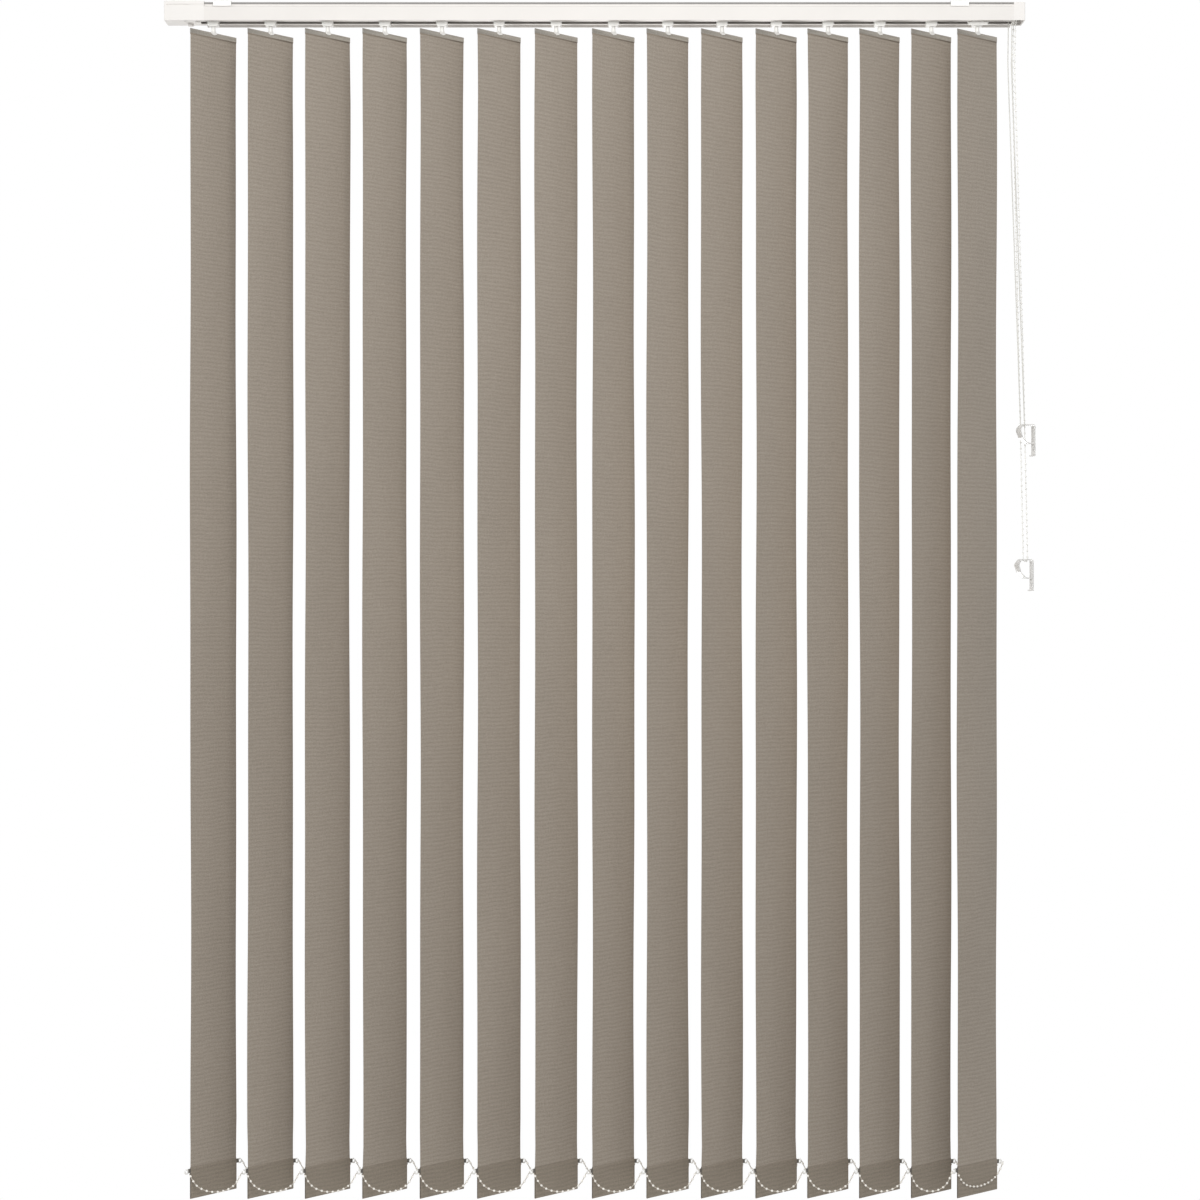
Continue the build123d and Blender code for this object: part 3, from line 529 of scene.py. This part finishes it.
def string_mesh(name, points, string_radius, bead_radius, step, start, bead_slot=0):
    """A thin string with beads on it, as one mesh.

    bead_slot is the material slot of the beads, so that they can have a finish of their own.
    """
    verts = []
    faces = []
    sides = 6
    for k, point in enumerate(points):
        ahead = points[min(k + 1, len(points) - 1)] - points[max(k - 1, 0)]
        turn = ahead.to_track_quat("Z", "Y")
        for q in range(sides):
            angle = 2 * math.pi * q / sides
            rim = Vector((string_radius * math.cos(angle), string_radius * math.sin(angle), 0))
            verts.append(point + turn @ rim)
        if k:
            for q in range(sides):
                a, b = (k - 1) * sides + q, (k - 1) * sides + (q + 1) % sides
                faces.append((a, b, b + sides, a + sides))
    faces.append(tuple(reversed(range(sides))))
    faces.append(tuple(range(len(verts) - sides, len(verts))))
    string_faces = len(faces)
    for place, direction in evenly(points, step, start):
        turn = direction.to_track_quat("Z", "Y")
        first = len(verts)
        verts.extend(place + turn @ (v * bead_radius) for v in bead_verts)
        faces.extend(tuple(first + q for q in f) for f in bead_faces)
    mesh = bpy.data.meshes.new(name)
    mesh.from_pydata([tuple(v) for v in verts], [], faces)
    for polygon in mesh.polygons:
        polygon.use_smooth = True
        polygon.material_index = bead_slot if polygon.index >= string_faces else 0
    made = bpy.data.objects.new(name, mesh)
    bpy.context.scene.collection.objects.link(made)
    return made


half_slat = cloth_width / 2
lug_z = -2.4411
hook_along = 0.0743
span_sag = 0.0392
span_shape = [
    (0.0, 0.0), (0.07, 0.44), (0.2, 0.8), (0.4, 0.99),
    (0.6, 0.99), (0.8, 0.8), (0.93, 0.44), (1.0, 0.0),
]
span_string_radius = 0.0009
span_bead_radius = 0.0026
span_bead_pitch = 0.0118
first_bead = 0.006


def on_slat(i, along, z):
    """A place on a slat's middle plane, by distance from its stem."""
    return Vector((slat_x[i] + along * math.cos(slat_turn[i]), along * math.sin(slat_turn[i]), z))


def under_lug(i, side):
    """Where a chain leaves the lug on one end of a weight."""
    return on_slat(i, side * (half_slat + 0.003), lug_z - 0.0056)


def outside_hook(i, side):
    """Where a chain ends in the hook beyond that lug."""
    return on_slat(i, side * (hook_along + 0.0068), lug_z - 0.002)


def hang(name, start, end, node, forward=0.0):
    """One span of beaded string that sags between two places, a little forward of them if asked."""
    line = end - start
    line.z = 0
    out = Vector((line.y, -line.x, 0)).normalized() * forward
    route = [
        start + (end - start) * way + out - Vector((0, 0, span_sag * low))
        for way, low in span_shape
    ]
    points = spline_points(route)
    span = string_mesh(
        name, points, span_string_radius, span_bead_radius, span_bead_pitch, first_bead, bead_slot=1
    )
    for finish in (link_cord, bead_plastic):
        span.data.materials.append(finish)
    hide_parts(node)
    return span


for i in range(count - 1):
    front = hang(
        f"front_span_{i + 1:02d}", under_lug(i, -1), outside_hook(i + 1, -1), "bottom_chain_front"
    )
    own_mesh(front)
    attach(front, "bottom_chain_front")
    back = hang(
        f"back_span_{i + 1:02d}", outside_hook(i, 1), under_lug(i + 1, 1), "bottom_chain_back"
    )
    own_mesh(back)
    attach(back, "bottom_chain_back")
off_the_cloth = 0.0034
end_span = hang(
    "end_span", under_lug(count - 1, -1), outside_hook(count - 1, 1), "bottom_chain_end",
    off_the_cloth,
)
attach(end_span, f"vane_{count:02d}")

# Traverse cord: braided polyester, 2.2 mm thick, tied to the first carrier. It runs to the
# control end, hangs as a loop held by its clip, and comes back round the return pulley.
clip_turn = math.radians(22)
reveal_x = 0.9285
pin_reach = 0.0065
pin_radius = 0.0025
play = 0.0004


def loop_corners(clip_y, clip_z, hang_out, radius):
    """The two low corners of a loop that turns round the pin of its clip."""
    x = reveal_x - hang_out * math.cos(clip_turn)
    y = clip_y - hang_out * math.sin(clip_turn)
    out = pin_reach + radius + play
    z = clip_z - pin_radius - radius - play
    side = Vector((math.sin(clip_turn), -math.cos(clip_turn), 0)) * out
    return Vector((x, y, z)) + side, Vector((x, y, z)) - side


def with_shoulders(corners, near):
    """A route with a point each side of every corner, so that its runs stay straight."""
    route = [corners[0]]
    for before, at, after in zip(corners, corners[1:], corners[2:]):
        back, ahead = before - at, after - at
        route.append(at + back.normalized() * min(near, back.length * 0.4))
        route.append(at)
        route.append(at + ahead.normalized() * min(near, ahead.length * 0.4))
    return route + [corners[-1]]


def slack(top, low, share):
    """A point near the top of a hanging strand, which falls a little towards the blind."""
    return top.lerp(low, share) - Vector((0.0045, 0, 0))


cord_radius = 0.0011
cord_z, exit_z = -0.021, -0.027
front_run_y, back_run_y = -0.0105, -0.002
front_turn_x, back_turn_x, return_x = 0.8825, 0.8765, -0.87625
low_front, low_back = loop_corners(-0.010, -0.885, 0.0275, cord_radius)
corners = [
    Vector((slat_x[0] + 0.001, front_run_y, cord_z)),
    Vector((front_turn_x, front_run_y, cord_z)),
    slack(Vector((front_turn_x, front_run_y, exit_z)), low_front, 0.12),
    low_front,
    low_back,
    slack(Vector((back_turn_x, back_run_y, exit_z)), low_back, 0.12),
    Vector((back_turn_x, back_run_y, cord_z)),
    Vector((return_x, back_run_y, cord_z)),
    Vector((return_x, front_run_y, cord_z)),
    Vector((slat_x[0] - 0.001, front_run_y, cord_z)),
]
cord_points = spline_points(with_shoulders(corners, 0.012))
braid = coat("braided_cord", (0.66, 0.65, 0.61), 0.75, 2500.0, 0.0003, 0.08)
past_its_end = 98.0
drawn = string_mesh(
    "traverse_cord_braid", cord_points, cord_radius, cord_radius, past_its_end, past_its_end
)
drawn.data.materials.append(braid)
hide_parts("traverse_cord")
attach(drawn, "frame")

# Bead chain: off-white plastic beads on a thin cord, an endless loop over the sprocket. Its two
# ends meet on the front strand.
chain_front, chain_back = loop_corners(0.012, -1.167, 0.0165, 0.0016)
chain_pitch = 0.013
sprocket_teeth = 6
sprocket_radius = chain_pitch / (2 * math.sin(math.pi / sprocket_teeth))
chain_x, rod_y = 0.891, 0.0095
front_y, back_y = rod_y - sprocket_radius, rod_y + sprocket_radius
side_z, over_z = -0.029, -0.027 + sprocket_radius
top = Vector((chain_x, front_y, side_z))
strand = chain_front - top
corners = [
    top + strand * 0.6,
    chain_front,
    chain_back,
    slack(Vector((chain_x, back_y, side_z)), chain_back, 0.09),
    Vector((chain_x, back_y, side_z)),
    Vector((chain_x, back_y, over_z)),
    Vector((chain_x, front_y, over_z)),
    top,
    slack(top, chain_front, 0.09),
    top + strand * 0.599,
]
chain_points = spline_points(with_shoulders(corners, 0.010))
chain_plastic = coat("chain_beads", (0.84, 0.83, 0.79), 0.3, 400.0, 0.00005)
chain = string_mesh(
    "bead_chain", chain_points, 0.0007, 0.00225, chain_pitch, chain_pitch / 2
)
chain.data.materials.append(chain_plastic)
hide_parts("chain_loop")
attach(chain, "frame")

# Safety clips: moulded in translucent white plastic and screwed to the reveal, so that they hold
# the loops of the cord and the bead chain.
clip_plastic = coat("translucent_plastic", (0.84, 0.83, 0.81), 0.25, 120.0, 0.00003)
clip_shader = clip_plastic.node_tree.nodes["Principled BSDF"]
clip_shader.inputs["Transmission Weight"].default_value = 0.25
dress("safety_clips", clip_plastic)
